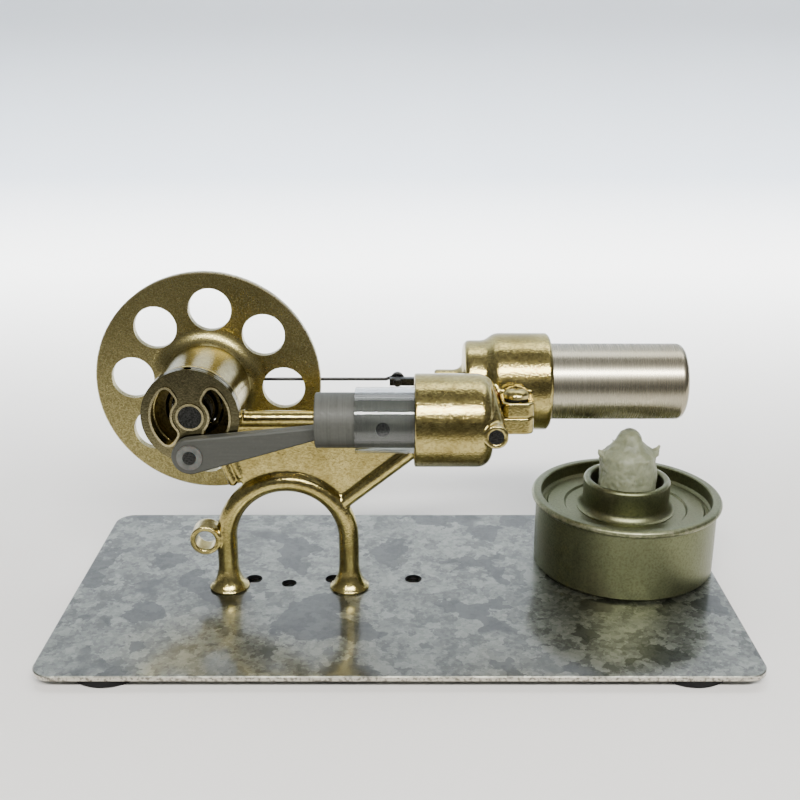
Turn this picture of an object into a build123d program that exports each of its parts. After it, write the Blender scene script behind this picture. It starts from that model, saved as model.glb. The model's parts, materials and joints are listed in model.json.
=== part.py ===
from build123d import *
from math import asin, atan2, cos, degrees, hypot, sin, sqrt
import os

os.makedirs("parts", exist_ok=True)

# Tabletop Stirling engine on a steel plate.
# Millimetres. X runs along the engine, +Y is its back, +Z is up.
# The origin is under the middle of the whole model, on the surface that the rubber feet stand on.

# ---- driving dimensions: base ----
plate_width = 180.0
plate_depth = 92.0
plate_thickness = 1.3
plate_x = -0.5                  # the burner's rim overhangs the plate's right edge
plate_corner_r = 5.5
plate_edge_break = 0.25
foot_r = 9.5
foot_height = 2.5
foot_break = 0.5
foot_offset_x = 72.5
foot_offset_y = 36.2
row_hole_r = 2.4
row_hole_pitch = 22.6
row_hole_count = 3
row_start_x = -41.8
row_y = 3.0
spare_hole_r = 2.1
spare_hole_at = (-31.6, 0.5)

# ---- driving dimensions: axes and planes ----
deck = foot_height + plate_thickness      # top face of the plate
axis_z = deck + 55.2                      # shaft, power cylinder and displacer share this height
shaft_x = -53.3
frame_y = -1.2                            # middle plane of the legs, ribs and web
power_y = -17.0                           # axis of the power cylinder
displacer_y = 14.6                        # axis of the displacer

# ---- driving dimensions: frame casting ----
leg_span = 33.5
leg_mid_x = -31.25
leg_r = 2.8
arch_base = deck + 15.25                  # where the legs bend into the arch
foot_flare_r = 5.6
foot_flare_height = 8.5
foot_flare_rim = 0.5
rib_r = 2.1
web_thickness = 1.6
eyelet_r = 4.2
eyelet_bore_r = 2.8
eyelet_length = 6.0
eyelet_x = -53.6
eyelet_z = deck + 15.4
foot_waist_r = 3.7                        # the trumpet foot's narrow part
foot_waist_height = 3.0
foot_top_r = leg_r - 0.05                 # the foot ends just inside the leg's surface
leg_screw_r = 1.25
leg_screw_depth = 7.0

# ---- driving dimensions: crankshaft and bearings ----
shaft_r = 3.0
drum_r = 12.0
drum_bead_r = 12.4
drum_front = -11.6
drum_back = 9.4
bearing_r = 9.5
bearing_width = 6.0
front_bearing_y = -8.0
rear_bearing_y = 2.8
ball_count = 8
ball_r = 1.6
ball_circle_r = 6.4
bearing_shoulder = 1.3                    # the housing's shoulder between the two bearings
race_gap = 1.1                            # from the ball circle to each ring's shoulder
ball_play = 0.06
disc_r = 12.45
disc_front = -15.2
disc_back = -12.0
disc_lip_height = 0.4                     # lips stand this proud of the disc's sunk face
disc_lip = 0.55
power_throw = 9.5
wheel_r = 31.0
wheel_front = 13.2
wheel_back = 15.4
wheel_hub_front = 9.8
wheel_hub_r = 11.4
wheel_flare_r = 16.4                      # where the hub's flare runs out into the wheel's face
wheel_edge_break = 0.25
wheel_hole_r = 5.85
wheel_hole_circle_r = 20.8
wheel_hole_count = 8
wheel_hole_phase = -4.0
displacer_throw = 8.0

# ---- driving dimensions: power side ----
piston_r = 6.95
piston_bore_r = 6.0
piston_length = 26.5
piston_skirt = 16.9                       # from the wrist pin to the piston's open end
piston_crown = 3.5
piston_break = 0.25
glass_r = 8.3
glass_bore_r = 7.0
glass_left = -11.5
block_left = 3.1
block_right = 22.4
block_r = 11.7
block_bore_r = 8.35
block_shoulder_r = 3.6
block_rim_break = 0.3
block_floor = 19.5                        # bottom of the block's bore
wrist_x = -4.6
wrist_pin_r = 1.75
rod_thickness = 3.0
rod_edge_break = 0.35
rod_back = -15.6
rod_big_end_r = 4.6
rod_small_end_r = 2.8
crank_pin_r = 1.65
bush_r = 3.25
boss_x = 22.7
boss_z = axis_z - 0.2
boss_r = 3.0
boss_front = -29.0
boss_back = 0.6
passage_r = 1.3
plug_r = 1.8
plug_length = 3.0
plug_sink = 0.2
bush_proud = 0.4                          # the bush and the pin stand in front of the rod's face
crank_pin_proud = 0.7

# ---- driving dimensions: displacer side ----
displacer_block_left = 17.1
displacer_block_right = 40.6
small_block_r = 11.4
large_block_r = 13.4
cold_bore_r = 9.7
tube_r = 10.5
tube_wall = 0.5
tube_left = 33.5
tube_right = 77.7
tube_end_r = 2.0                          # rounding of the tube's closed end
tube_seat_gap = 0.5                       # room left of the tube's open end
displacer_r = 9.5
displacer_left = 37.4
displacer_right = 76.2
displacer_wall = 0.5
displacer_end_r = 1.8
guide_left = 9.0
guide_r = 3.3
guide_bush_r = 2.2
guide_bush_sink = 0.2
cold_wall = 2.4                           # the block's wall round the guide boss
rod_r = 0.8
link_pin_x = -1.1
link_pin_r = 0.6
link_pin_head_r = 1.15
link_pin_head_height = 0.9
wire_r = 0.45
wire_y = 16.6
gasket_thickness = 0.5

# ---- driving dimensions: bracket between the two castings ----
lug_half = 4.5                            # half the lugs' width, across and along the screw's row
lug_left = 25.9                           # left end of the upper lug's front edge
lug_corner_r = 2.2
lug_x = 29.9
lug_y = -4.1
lug_bottom = deck + 48.1
lug_split = deck + 52.5
lug_top = deck + 56.6
screw_head_r = 3.5
screw_head_height = 2.2
screw_head_rim = 0.9
washer_height = 0.6
screw_r = 1.25

# ---- driving dimensions: burner ----
burner_x = 64.6
burner_y = 14.7
can_r = 25.6
can_wall = 0.5
can_rim_r = 26.9
can_height = 21.7
seam_height = 2.0
lid_level = 17.4
collar_r = 12.2
collar_bore_r = 10.2
collar_top = 26.5
wick_r = 9.2
wick_tip = 41.2

fit = 0.03                                # radial play of parts that are fixed in a hole
slip = 0.05                               # radial play of parts that run or slide
washer_play = 0.1                         # radial play of a screw in its washer
screw_clearance = 0.25                    # radial play of a screw in a part that it only passes through
side_play = 0.15                          # from the link's eyes to the heads beside them
pivot_gap = 0.3                           # gap at the two opened crank pivots
over = 1.0                                # how far a cut reaches past the face that it opens


# ---- construction helpers ----
def at_x(x):
    """Plane across X. Its sketch axes are Y and Z, and it extrudes towards +X."""
    return Plane.YZ.offset(x)


def at_y(y):
    """Plane across Y. Its sketch axes are X and Z, and it extrudes towards -Y."""
    return Plane.XZ.offset(-y)


def shaft_axis():
    return Axis((shaft_x, 0, axis_z), (0, 1, 0))


def rod_between(start, end, radius):
    """Add a round bar with ball ends to the part that is being built."""
    start = Vector(*start)
    end = Vector(*end)
    with Locations(Plane(origin=start, z_dir=end - start)):
        Cylinder(radius, (end - start).length, align=(Align.CENTER, Align.CENTER, Align.MIN))
    with Locations(start, end):
        Sphere(radius)


def tube_along_y(label, centre, outer_r, inner_r, front, back):
    """A plain ring or bar with its axis along Y."""
    with BuildPart() as piece:
        with BuildSketch(at_y(back)):
            with Locations(centre):
                Circle(outer_r)
                if inner_r > 0:
                    Circle(inner_r, mode=Mode.SUBTRACT)
        extrude(amount=back - front)
    save(piece, label)


def tube_along_x(label, centre, outer_r, inner_r, left, right):
    """A plain ring or bar with its axis along X."""
    with BuildPart() as piece:
        with BuildSketch(at_x(left)):
            with Locations(centre):
                Circle(outer_r)
                if inner_r > 0:
                    Circle(inner_r, mode=Mode.SUBTRACT)
        extrude(amount=right - left)
    save(piece, label)


def save(piece, label):
    piece.part.label = label
    export_step(piece.part, f"parts/{label}.step")


shaft_centre = (shaft_x, axis_z)
power_axis = Axis((0, power_y, axis_z), (1, 0, 0))
displacer_axis = Axis((0, displacer_y, axis_z), (1, 0, 0))
leg_xs = (leg_mid_x - leg_span / 2, leg_mid_x + leg_span / 2)
row_xs = [row_start_x + row_hole_pitch * i for i in range(row_hole_count)]


# ---- base plate ----
with BuildPart() as base_plate:
    with BuildSketch(Plane.XY.offset(foot_height)):
        with Locations((plate_x, 0)):
            RectangleRounded(plate_width, plate_depth, plate_corner_r)
        with Locations(*[(x, row_y) for x in row_xs]):
            Circle(row_hole_r, mode=Mode.SUBTRACT)
        with Locations(spare_hole_at):
            Circle(spare_hole_r, mode=Mode.SUBTRACT)
        with Locations(*[(x, frame_y) for x in leg_xs]):
            Circle(leg_screw_r + screw_clearance, mode=Mode.SUBTRACT)
    extrude(amount=plate_thickness)
    chamfer(base_plate.faces().sort_by(Axis.Z)[-1].outer_wire().edges(), plate_edge_break)
save(base_plate, "base_plate")

foot_spots = [(plate_x + sx * foot_offset_x, sy * foot_offset_y) for sx in (-1, 1) for sy in (-1, 1)]
with BuildPart() as rubber_feet:
    with BuildSketch(Plane.XY):
        with Locations(*foot_spots):
            Circle(foot_r)
    extrude(amount=foot_height)
    chamfer(rubber_feet.faces().group_by(Axis.Z)[0].edges(), foot_break)
save(rubber_feet, "rubber_feet")


# ---- frame casting: legs, arch, ribs, web, bearing drum, power block, gas boss, lower lug ----
drum_rib_r = 1.3                          # the twin ribs from the drum to the arch
drum_rib_step = 1.0
drum_rib_top = (shaft_x + 4, deck + 45.5)
drum_rib_foot = (-44.6, deck + 32.8)
bar_left = shaft_x + 7                    # the level bar from the drum to the power block
bar_right = 8.0
bar_z = deck + 50
slant_low = (-15.7, deck + 26.0)          # the slanting rib rises from the arch towards the block
slant_high = (3.0, deck + 40.9)
rib_end_y = frame_y - 4.5                 # both ribs turn forward to meet the block
bar_end = (13.0, rib_end_y, bar_z + 1)
slant_end = (9.0, rib_end_y, deck + 46.6)
web_low = (leg_mid_x, deck + 20)          # inside the arch, where the web is cut away
web_outline = [(bar_left, bar_z), (bar_right, bar_z), slant_high, slant_low, web_low, drum_rib_foot]
# The slanting fin runs from the block's top shoulder down to the gas boss.
fin_r = 2.6
fin_x = 20.0
fin_sink = 0.2                            # how far the fin's top lies inside the block's surface
fin_setback = 0.6                         # how far its foot lies behind the boss's face
fin_top = (fin_x, power_y, axis_z + block_r - fin_r - fin_sink)
fin_foot = (boss_x, boss_front + fin_r + fin_setback, boss_z)

shoulder_x = block_right - block_shoulder_r
shoulder_z = axis_z + block_r - block_shoulder_r
bridge_x = 14.5
bridge_z = deck + 50.4
bridge_width = 17.0
bridge_height = 8.6
bridge_depth = 8.0
bridge_corner_r = 2.5
lower_lug_left = 18.0
drum_bead_width = 1.4

with BuildPart() as engine_frame:
    # Legs and arch in one bend.
    with BuildLine(at_y(frame_y)):
        Line((leg_xs[0], deck), (leg_xs[0], arch_base))
        ThreePointArc((leg_xs[0], arch_base), (leg_mid_x, arch_base + leg_span / 2), (leg_xs[1], arch_base))
        Line((leg_xs[1], arch_base), (leg_xs[1], deck))
    with BuildSketch(Plane(origin=(leg_xs[0], frame_y, deck), z_dir=(0, 0, 1))):
        Circle(leg_r)
    sweep()
    # Trumpet feet.
    for leg_x in leg_xs:
        with BuildSketch(at_y(frame_y)):
            with BuildLine():
                Spline(
                    (leg_x + foot_flare_r, deck + foot_flare_rim),
                    (leg_x + foot_waist_r, deck + foot_waist_height),
                    (leg_x + foot_top_r, deck + foot_flare_height),
                    tangents=((-1, 0.7), (0, 1)),
                )
                Polyline(
                    (leg_x + foot_top_r, deck + foot_flare_height),
                    (leg_x, deck + foot_flare_height),
                    (leg_x, deck),
                    (leg_x + foot_flare_r, deck),
                    (leg_x + foot_flare_r, deck + foot_flare_rim),
                )
            make_face()
        revolve(axis=Axis((leg_x, frame_y, 0), (0, 0, 1)))
    # Web panel, with the arch's inside left open.
    with BuildSketch(at_y(frame_y + web_thickness / 2)):
        Polygon(*web_outline, align=None)
        with Locations((leg_mid_x, arch_base)):
            Circle(leg_span / 2, mode=Mode.SUBTRACT)
    extrude(amount=web_thickness)
    # Ribs round the web.
    rod_between((bar_left, frame_y, bar_z), (bar_right, frame_y, bar_z), rib_r)
    rod_between((bar_right, frame_y, bar_z), bar_end, rib_r)
    rod_between((slant_low[0], frame_y, slant_low[1]), (slant_high[0], frame_y, slant_high[1]), rib_r)
    rod_between((slant_high[0], frame_y, slant_high[1]), slant_end, rib_r)
    for step in (-drum_rib_step, drum_rib_step):
        rod_between(
            (drum_rib_top[0] + step, frame_y, drum_rib_top[1] + step),
            (drum_rib_foot[0] + step, frame_y, drum_rib_foot[1] + step),
            drum_rib_r,
        )
    # Solid bridge behind the power block.
    with BuildSketch(at_y(boss_back)):
        with Locations((bridge_x, bridge_z)):
            RectangleRounded(bridge_width, bridge_height, bridge_corner_r)
    extrude(amount=bridge_depth)
    # Eyelet beside the left leg.
    with BuildSketch(at_y(frame_y + eyelet_length / 2)):
        with Locations((eyelet_x, eyelet_z)):
            Circle(eyelet_r)
    extrude(amount=eyelet_length)
    # Bearing drum with a bead at its front.
    with BuildSketch(at_y(drum_back)):
        with Locations(shaft_centre):
            Circle(drum_r)
    extrude(amount=drum_back - drum_front)
    with BuildSketch(at_y(drum_front + drum_bead_width)):
        with Locations(shaft_centre):
            Circle(drum_bead_r)
    extrude(amount=drum_bead_width)
    # Power block, its rim bead and its rounded far end.
    with BuildSketch(at_y(power_y)):
        with BuildLine():
            Polyline(
                (block_right, axis_z),
                (block_left, axis_z),
                (block_left, axis_z + block_r - block_rim_break),
                (block_left + block_rim_break, axis_z + block_r),
                (shoulder_x, axis_z + block_r),
            )
            RadiusArc((shoulder_x, axis_z + block_r), (block_right, shoulder_z), block_shoulder_r)
            Line((block_right, shoulder_z), (block_right, axis_z))
        make_face()
    revolve(axis=power_axis)
    # Gas boss and the slanting fin that ties it to the block.
    with BuildSketch(at_y(boss_back)):
        with Locations((boss_x, boss_z)):
            Circle(boss_r)
    extrude(amount=boss_back - boss_front)
    rod_between(fin_top, fin_foot, fin_r)
    # Lower lug.
    with BuildSketch(Plane.XY.offset(lug_bottom)):
        with Locations(((lug_x + lug_half + lower_lug_left) / 2, lug_y)):
            RectangleRounded(lug_x + lug_half - lower_lug_left, 2 * lug_half, lug_corner_r)
    extrude(amount=lug_split - lug_bottom)
    # Bores.
    with BuildSketch(at_y(drum_back + over)):
        with Locations(shaft_centre):
            Circle(bearing_r + fit)
    extrude(amount=drum_back + over - rear_bearing_y, mode=Mode.SUBTRACT)
    with BuildSketch(at_y(front_bearing_y + bearing_width)):
        with Locations(shaft_centre):
            Circle(bearing_r + fit)
    extrude(amount=front_bearing_y + bearing_width - drum_front + over, mode=Mode.SUBTRACT)
    with BuildSketch(at_y(rear_bearing_y)):
        with Locations(shaft_centre):
            Circle(bearing_r - bearing_shoulder)
    extrude(amount=rear_bearing_y - front_bearing_y - bearing_width, mode=Mode.SUBTRACT)
    with BuildSketch(at_y(frame_y + eyelet_length)):
        with Locations((eyelet_x, eyelet_z)):
            Circle(eyelet_bore_r)
    extrude(amount=2 * eyelet_length, mode=Mode.SUBTRACT)
    with BuildSketch(at_x(block_left - over)):
        with Locations((power_y, axis_z)):
            Circle(block_bore_r)
    extrude(amount=block_floor - block_left + over, mode=Mode.SUBTRACT)
    with BuildSketch(at_y(boss_back + over)):
        with Locations((boss_x, boss_z)):
            Circle(passage_r)
    extrude(amount=boss_back + over - boss_front, mode=Mode.SUBTRACT)
    with BuildSketch(at_y(boss_front + plug_length)):
        with Locations((boss_x, boss_z)):
            Circle(plug_r + fit)
    extrude(amount=plug_length + over, mode=Mode.SUBTRACT)
    with BuildSketch(at_x(block_floor - over)):
        with Locations((power_y, boss_z)):
            Circle(passage_r)
    extrude(amount=boss_x - block_floor + over, mode=Mode.SUBTRACT)
    with BuildSketch(Plane.XY.offset(lug_split)):
        with Locations((lug_x, lug_y)):
            Circle(screw_r + fit)
    extrude(amount=lug_bottom - lug_split - over, mode=Mode.SUBTRACT)
    with BuildSketch(Plane.XY.offset(deck - over)):
        with Locations(*[(x, frame_y) for x in leg_xs]):
            Circle(leg_screw_r + fit)
    extrude(amount=leg_screw_depth + 2 * over, mode=Mode.SUBTRACT)
save(engine_frame, "engine_frame")


# ---- fasteners of the frame ----
leg_screw_head_r = 2.5
leg_screw_head_height = 1.3
leg_washer_r = 3.0
leg_washer_height = 0.4
leg_cross_length = 3.0
leg_cross_width = 0.6
leg_cross_depth = 0.8
with BuildPart() as leg_washers:
    with BuildSketch(Plane.XY.offset(foot_height - leg_washer_height)):
        with Locations(*[(x, frame_y) for x in leg_xs]):
            Circle(leg_washer_r)
            Circle(leg_screw_r + washer_play, mode=Mode.SUBTRACT)
    extrude(amount=leg_washer_height)
save(leg_washers, "leg_washers")

leg_screw_seat = foot_height - leg_washer_height
with BuildPart() as leg_screws:
    with BuildSketch(Plane.XY.offset(leg_screw_seat - leg_screw_head_height)):
        with Locations(*[(x, frame_y) for x in leg_xs]):
            Circle(leg_screw_head_r)
    extrude(amount=leg_screw_head_height)
    with BuildSketch(Plane.XY.offset(leg_screw_seat)):
        with Locations(*[(x, frame_y) for x in leg_xs]):
            Circle(leg_screw_r)
    extrude(amount=deck - leg_screw_seat + leg_screw_depth)
    with BuildSketch(Plane.XY.offset(leg_screw_seat - leg_screw_head_height)):
        with Locations(*[(x, frame_y) for x in leg_xs]):
            Rectangle(leg_cross_length, leg_cross_width)
            Rectangle(leg_cross_width, leg_cross_length)
    extrude(amount=leg_cross_depth, mode=Mode.SUBTRACT)
save(leg_screws, "leg_screws")

bracket_washer_r = 3.1
with BuildPart() as bracket_washer:
    with BuildSketch(Plane.XY.offset(lug_top)):
        with Locations((lug_x, lug_y)):
            Circle(bracket_washer_r)
            Circle(screw_r + washer_play, mode=Mode.SUBTRACT)
    extrude(amount=washer_height)
save(bracket_washer, "bracket_washer")

screw_end = lug_bottom + 0.6
head_seat = lug_top + washer_height
head_top = head_seat + screw_head_height
dome_mid_r = 0.75 * screw_head_r
dome_mid_z = head_seat + 0.82 * screw_head_height
dome_flat_r = 0.25 * screw_head_r
cross_length = 3.6
cross_width = 0.7
cross_depth = 1.3
with BuildPart() as bracket_screw:
    with BuildSketch(at_y(lug_y)):
        with BuildLine():
            Polyline(
                (lug_x, head_top),
                (lug_x, screw_end),
                (lug_x + screw_r, screw_end),
                (lug_x + screw_r, head_seat),
                (lug_x + screw_head_r, head_seat),
                (lug_x + screw_head_r, head_seat + screw_head_rim),
            )
            ThreePointArc(
                (lug_x + screw_head_r, head_seat + screw_head_rim),
                (lug_x + dome_mid_r, dome_mid_z),
                (lug_x + dome_flat_r, head_top),
            )
            Line((lug_x + dome_flat_r, head_top), (lug_x, head_top))
        make_face()
    revolve(axis=Axis((lug_x, lug_y, 0), (0, 0, 1)))
    with BuildSketch(Plane.XY.offset(head_top)):
        with Locations((lug_x, lug_y)):
            Rectangle(cross_length, cross_width)
            Rectangle(cross_width, cross_length)
    extrude(amount=-cross_depth, mode=Mode.SUBTRACT)
save(bracket_screw, "bracket_screw")

plug_front = boss_front + plug_sink
tube_along_y("passage_plug", (boss_x, boss_z), plug_r, 0, plug_front, boss_front + plug_length)
gasket_back = boss_back + gasket_thickness
tube_along_y("gas_gasket", (boss_x, boss_z), boss_r, passage_r, boss_back, gasket_back)


# ---- ball bearings: rings, balls and cages ----
inner_ring_r = ball_circle_r - race_gap
outer_ring_bore_r = ball_circle_r + race_gap
cage_width = 4.6
cage_half = 0.35
pocket_length = 3.0                       # longer than the cage's wall, so that each pocket goes through


def bearing_ring(label, front, inner_r, outer_r):
    """A race ring with the groove that the balls run in."""
    middle = front + bearing_width / 2
    with BuildPart() as ring:
        with BuildSketch(Plane.XY.offset(axis_z)):
            with Locations((shaft_x + (inner_r + outer_r) / 2, middle)):
                Rectangle(outer_r - inner_r, bearing_width)
            with Locations((shaft_x + ball_circle_r, middle)):
                Circle(ball_r + ball_play, mode=Mode.SUBTRACT)
        revolve(axis=shaft_axis())
    save(ring, label)


for end_name, front in (("front", front_bearing_y), ("rear", rear_bearing_y)):
    middle = front + bearing_width / 2
    bearing_ring(f"{end_name}_bearing_outer_ring", front, outer_ring_bore_r, bearing_r)
    bearing_ring(f"{end_name}_bearing_inner_ring", front, shaft_r + fit, inner_ring_r)
    ball_plane = Plane(origin=(shaft_x, middle, axis_z), x_dir=(1, 0, 0), z_dir=(0, -1, 0))
    with BuildPart(ball_plane) as balls:
        with PolarLocations(ball_circle_r, ball_count):
            Sphere(ball_r)
    save(balls, f"{end_name}_bearing_balls")
    with BuildPart(ball_plane) as cage:
        Cylinder(ball_circle_r + cage_half, cage_width)
        Cylinder(ball_circle_r - cage_half, cage_width, mode=Mode.SUBTRACT)
        with PolarLocations(ball_circle_r, ball_count):
            Cylinder(ball_r + slip, pocket_length, rotation=(0, 90, 0), mode=Mode.SUBTRACT)
    save(cage, f"{end_name}_bearing_cage")


# ---- crankshaft: shaft, spacers, crank disc and flywheel ----
spacer_r = 4.7
front_bearing_back = front_bearing_y + bearing_width
rear_bearing_back = rear_bearing_y + bearing_width
tube_along_y("main_shaft", shaft_centre, shaft_r, 0, disc_front, wheel_back)
tube_along_y("front_spacer", shaft_centre, spacer_r, shaft_r + fit, disc_back, front_bearing_y)
tube_along_y("middle_sleeve", shaft_centre, spacer_r, shaft_r + fit, front_bearing_back, rear_bearing_y)
tube_along_y("rear_spacer", shaft_centre, spacer_r, shaft_r + fit, rear_bearing_back, wheel_hub_front)

kidney_inner_r = 5.0
kidney_outer_r = 9.8
kidney_half_angle = 56
kidney_corner_r = 1.6
kidney_lip_turn = 4.5                     # the lip's ends reach this many degrees past the opening's
disc_face = disc_front + disc_lip_height
disc_middle = (disc_front + disc_back) / 2
disc_groove = 0.35                        # width and depth of the grooves round the rim
disc_groove_ys = (disc_front + 0.95, disc_front + 2.25)
pin_seat_r = crank_pin_r - 0.1
pin_seat_depth = 2.0
grub_r = 0.9
grub_socket_r = 0.5
grub_socket_depth = 1.0
disc_grub_top = disc_r - 1.6              # both grub screws end below the surface
wheel_grub_top = wheel_hub_r - 0.8
wheel_grub_y = wheel_hub_front + 1.4


def grub_screw(label, y, top_r, side):
    """A socket screw that presses on the shaft from above (side 1) or from below (side -1)."""
    with BuildPart() as screw:
        with BuildSketch(Plane.XY.offset(axis_z + side * (shaft_r + fit))):
            with Locations((shaft_x, y)):
                Circle(grub_r)
        extrude(amount=side * (top_r - shaft_r - fit))
        with BuildSketch(Plane.XY.offset(axis_z + side * top_r)):
            with Locations((shaft_x, y)):
                RegularPolygon(grub_socket_r, 6)
        extrude(amount=-side * grub_socket_depth, mode=Mode.SUBTRACT)
    save(screw, label)


with BuildPart() as crank_disc:
    with BuildSketch(at_y(disc_back)):
        with Locations(shaft_centre):
            Circle(disc_r)
            Circle(shaft_r + fit, mode=Mode.SUBTRACT)
    extrude(amount=disc_back - disc_face)
    # A lip round the shaft and one round each opening stand proud of the face.
    with BuildSketch(at_y(disc_face)):
        with Locations(shaft_centre):
            Circle(shaft_r + fit + disc_lip)
            Circle(shaft_r + fit, mode=Mode.SUBTRACT)
    extrude(amount=disc_lip_height)
    for facing in (0, 180):
        with BuildSketch(at_y(disc_face)) as kidney_lip:
            with BuildLine():
                lip_angle = kidney_half_angle + kidney_lip_turn
                outer = CenterArc(shaft_centre, kidney_outer_r + disc_lip, facing - lip_angle, 2 * lip_angle)
                inner = CenterArc(shaft_centre, kidney_inner_r - disc_lip, facing - lip_angle, 2 * lip_angle)
                Line(outer @ 0, inner @ 0)
                Line(outer @ 1, inner @ 1)
            make_face()
            fillet(kidney_lip.vertices(), kidney_corner_r + disc_lip)
        extrude(amount=disc_lip_height)
    # Two kidney openings leave the counterweight at the top and the crank web at the bottom.
    for facing in (0, 180):
        with BuildSketch(at_y(disc_back)) as kidney:
            with BuildLine():
                first_angle = facing - kidney_half_angle
                outer = CenterArc(shaft_centre, kidney_outer_r, first_angle, 2 * kidney_half_angle)
                inner = CenterArc(shaft_centre, kidney_inner_r, first_angle, 2 * kidney_half_angle)
                Line(outer @ 0, inner @ 0)
                Line(outer @ 1, inner @ 1)
            make_face()
            fillet(kidney.vertices(), kidney_corner_r)
        extrude(amount=disc_back - disc_front, mode=Mode.SUBTRACT)
    # Two grooves round the rim.
    with BuildSketch(Plane.XY.offset(axis_z)):
        with Locations(*[(shaft_x + disc_r, y) for y in disc_groove_ys]):
            Rectangle(2 * disc_groove, disc_groove)
    revolve(axis=shaft_axis(), mode=Mode.SUBTRACT)
    # Crank pin seat and the grub screw's hole from the rim.
    with BuildSketch(at_y(disc_front + pin_seat_depth)):
        with Locations((shaft_x, axis_z - power_throw)):
            Circle(pin_seat_r)
    extrude(amount=pin_seat_depth, mode=Mode.SUBTRACT)
    with BuildSketch(Plane.XY.offset(axis_z)):
        with Locations((shaft_x, disc_middle)):
            Circle(grub_r + fit)
    extrude(amount=disc_r + over, mode=Mode.SUBTRACT)
save(crank_disc, "crank_disc")
grub_screw("disc_grub_screw", disc_middle, disc_grub_top, 1)

wheel_flare_sag_r = 4.6
wheel_hub_break = 0.4
with BuildPart() as flywheel:
    with BuildSketch(Plane.XY.offset(axis_z)):
        with BuildLine():
            Polyline(
                (shaft_x, wheel_hub_front),
                (shaft_x + wheel_hub_r - wheel_hub_break, wheel_hub_front),
                (shaft_x + wheel_hub_r, wheel_hub_front + wheel_hub_break),
            )
            RadiusArc(
                (shaft_x + wheel_hub_r, wheel_hub_front + wheel_hub_break),
                (shaft_x + wheel_flare_r, wheel_front),
                wheel_flare_sag_r,
            )
            Polyline(
                (shaft_x + wheel_flare_r, wheel_front),
                (shaft_x + wheel_r - wheel_edge_break, wheel_front),
                (shaft_x + wheel_r, wheel_front + wheel_edge_break),
                (shaft_x + wheel_r, wheel_back - wheel_edge_break),
                (shaft_x + wheel_r - wheel_edge_break, wheel_back),
                (shaft_x, wheel_back),
                (shaft_x, wheel_hub_front),
            )
        make_face()
    revolve(axis=shaft_axis())
    with BuildSketch(at_y(wheel_back)):
        with Locations(shaft_centre):
            Circle(shaft_r + fit)
            with PolarLocations(wheel_hole_circle_r, wheel_hole_count, start_angle=wheel_hole_phase):
                Circle(wheel_hole_r)
    extrude(amount=wheel_back - wheel_hub_front, mode=Mode.SUBTRACT)
    with BuildSketch(Plane.XY.offset(axis_z)):
        with Locations((shaft_x, wheel_grub_y)):
            Circle(grub_r + fit)
    extrude(amount=-wheel_hub_r - 2 * over, mode=Mode.SUBTRACT)
save(flywheel, "flywheel")
grub_screw("wheel_grub_screw", wheel_grub_y, wheel_grub_top, -1)


# ---- power cylinder, piston and connecting rod ----
gasket_left = block_floor - gasket_thickness
gasket_bore_r = glass_bore_r - 0.4
tube_along_x("glass_cylinder", (power_y, axis_z), glass_r, glass_bore_r, glass_left, gasket_left)
tube_along_x("cylinder_gasket", (power_y, axis_z), glass_r, gasket_bore_r, gasket_left, block_floor)

piston_left = wrist_x - piston_skirt
with BuildPart() as power_piston:
    with BuildSketch(at_x(piston_left)):
        with Locations((power_y, axis_z)):
            Circle(piston_r)
    extrude(amount=piston_length)
    chamfer(power_piston.edges().filter_by(GeomType.CIRCLE), piston_break)
    with BuildSketch(at_x(piston_left)):
        with Locations((power_y, axis_z)):
            Circle(piston_bore_r)
    extrude(amount=piston_length - piston_crown, mode=Mode.SUBTRACT)
    with BuildSketch(at_y(power_y + piston_r + over)):
        with Locations((wrist_x, axis_z)):
            Circle(wrist_pin_r + fit)
    extrude(amount=2 * (piston_r + over), mode=Mode.SUBTRACT)
save(power_piston, "power_piston")
pin_half = piston_r - 0.45
tube_along_y("wrist_pin", (wrist_x, axis_z), wrist_pin_r, 0, power_y - pin_half, power_y + pin_half)

# The rod's outline is drawn from the wrist pin towards the crank pin, which is straight below the shaft.
crank_pin_z = axis_z - power_throw
rod_run = wrist_x - shaft_x
rod_length = sqrt(rod_run ** 2 + power_throw ** 2)
rod_tilt = degrees(asin(power_throw / rod_length))
rod_plane = Plane(
    origin=(wrist_x, rod_back, axis_z),
    x_dir=(-rod_run, 0, -power_throw),
    z_dir=(0, -1, 0),
)
rod_neck = 18.0
rod_neck_half = 1.7
rod_break_start = shaft_x - 6             # the small end, inside the piston, keeps its sharp edge
rod_break_end = wrist_x - 5
# The taper leaves the neck and meets the big end's circle as a tangent.
taper_span = hypot(rod_length - rod_neck, rod_neck_half)
taper_angle = asin(rod_big_end_r / taper_span) - atan2(rod_neck_half, rod_length - rod_neck)
taper_run = sqrt(taper_span ** 2 - rod_big_end_r ** 2)
taper_end_x = rod_neck + taper_run * cos(taper_angle)
taper_end_y = rod_neck_half + taper_run * sin(taper_angle)
with BuildPart() as connecting_rod:
    with BuildSketch(rod_plane):
        Circle(rod_small_end_r)
        with Locations((rod_length, 0)):
            Circle(rod_big_end_r)
        Polygon(
            (0, rod_neck_half),
            (rod_neck, rod_neck_half),
            (taper_end_x, taper_end_y),
            (rod_length, 0),
            (taper_end_x, -taper_end_y),
            (rod_neck, -rod_neck_half),
            (0, -rod_neck_half),
            align=None,
        )
        Circle(wrist_pin_r + slip, mode=Mode.SUBTRACT)
        with Locations((rod_length, 0)):
            Circle(bush_r + fit, mode=Mode.SUBTRACT)
    extrude(amount=rod_thickness)
    front_outline = connecting_rod.faces().sort_by(Axis.Y)[0].outer_wire().edges()
    chamfer(front_outline.filter_by_position(Axis.X, rod_break_start, rod_break_end), rod_edge_break)
save(connecting_rod, "connecting_rod")
crank_pin_centre = (shaft_x, crank_pin_z)
rod_front = rod_back - rod_thickness
bush_front = rod_front - bush_proud
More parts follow.
